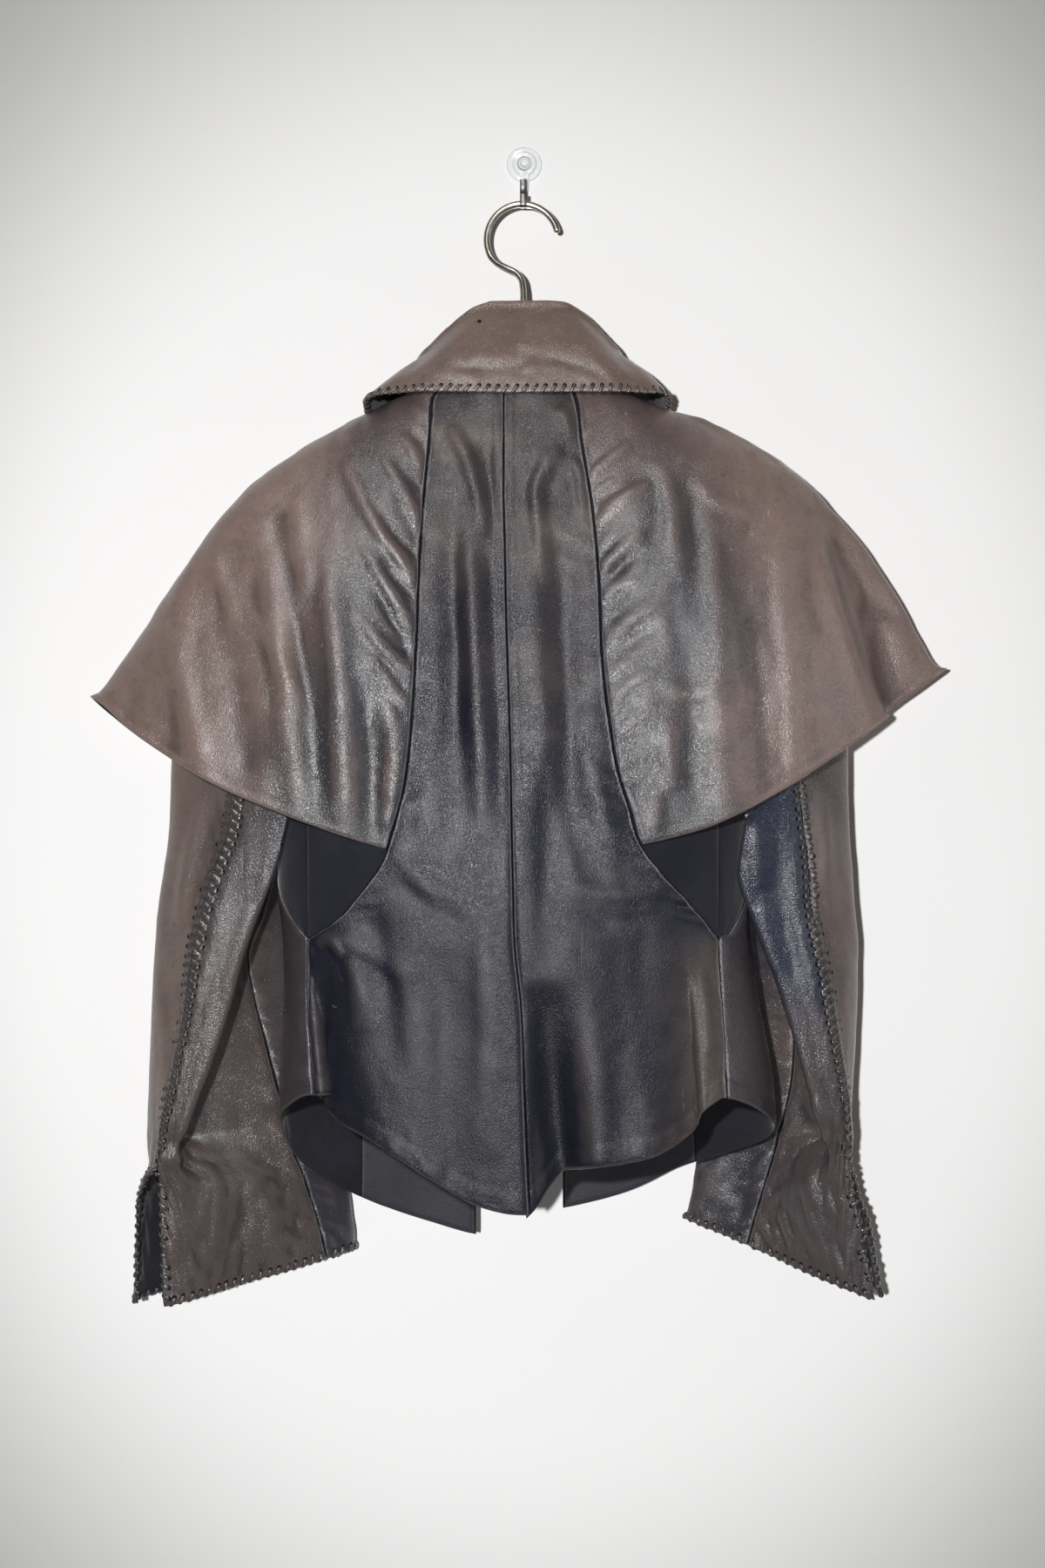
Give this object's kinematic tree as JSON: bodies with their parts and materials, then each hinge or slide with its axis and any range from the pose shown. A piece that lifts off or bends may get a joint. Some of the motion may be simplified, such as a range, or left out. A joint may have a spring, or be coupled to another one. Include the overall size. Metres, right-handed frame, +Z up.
{
  "type": "worn leather jacket on a hanger",
  "caption": "Cropped leather jacket, back outwards, on a wire-hooked hanger and wall cup, with turned collar, shoulder capelets, laced sleeve seams and flared cuffs.",
  "frame": {"origin": "middle of the suction cup's flat face on the wall, where the whole thing is held", "axes": "+Z up, +Y into the wall (the jacket's front faces +Y, its back faces -Y), +X to the wearer's right"},
  "size_m": [0.637, 0.1523, 0.8715],
  "materials": {
    "back_leather": "worn glossy finish, blue-black with grey scuffs",
    "shoulder_leather": "worn glossy finish, browned",
    "collar_leather": "worn satin finish, browned",
    "sleeve_leather": "worn glossy finish, brown to navy",
    "under_sleeve_leather": "worn glossy finish, navy",
    "front_leather": "worn grain outside, napped inside, navy",
    "suede": "napped suede, dark navy",
    "facing_leather": "smooth satin, slate",
    "lacing": "round leather thong, dark",
    "hanger_steel": "polished round wire",
    "hanger_bar": "plain dark bar",
    "hook_metal": "dull grey strip",
    "clear_plastic": "clear soft plastic"
  },
  "bodies": {
    "root": {"back_left": "back_leather", "back_right": "back_leather", "side_back_left": "suede", "side_back_right": "suede", "side_front_left": "suede", "side_front_right": "suede", "front_left": "front_leather", "front_right": "front_leather", "facing_left": "facing_leather", "facing_right": "facing_leather", "upper_sleeve_left": "sleeve_leather", "upper_sleeve_right": "sleeve_leather", "under_sleeve_left": "under_sleeve_leather", "under_sleeve_right": "under_sleeve_leather", "cape_left": "shoulder_leather", "cape_right": "shoulder_leather", "collar": "collar_leather", "hanger_hook": "hanger_steel", "hanger_bar": "hanger_bar", "wall_cup": "clear_plastic", "hook_ring": "clear_plastic", "wall_hook": "hook_metal"}
  },
  "joints": []
}
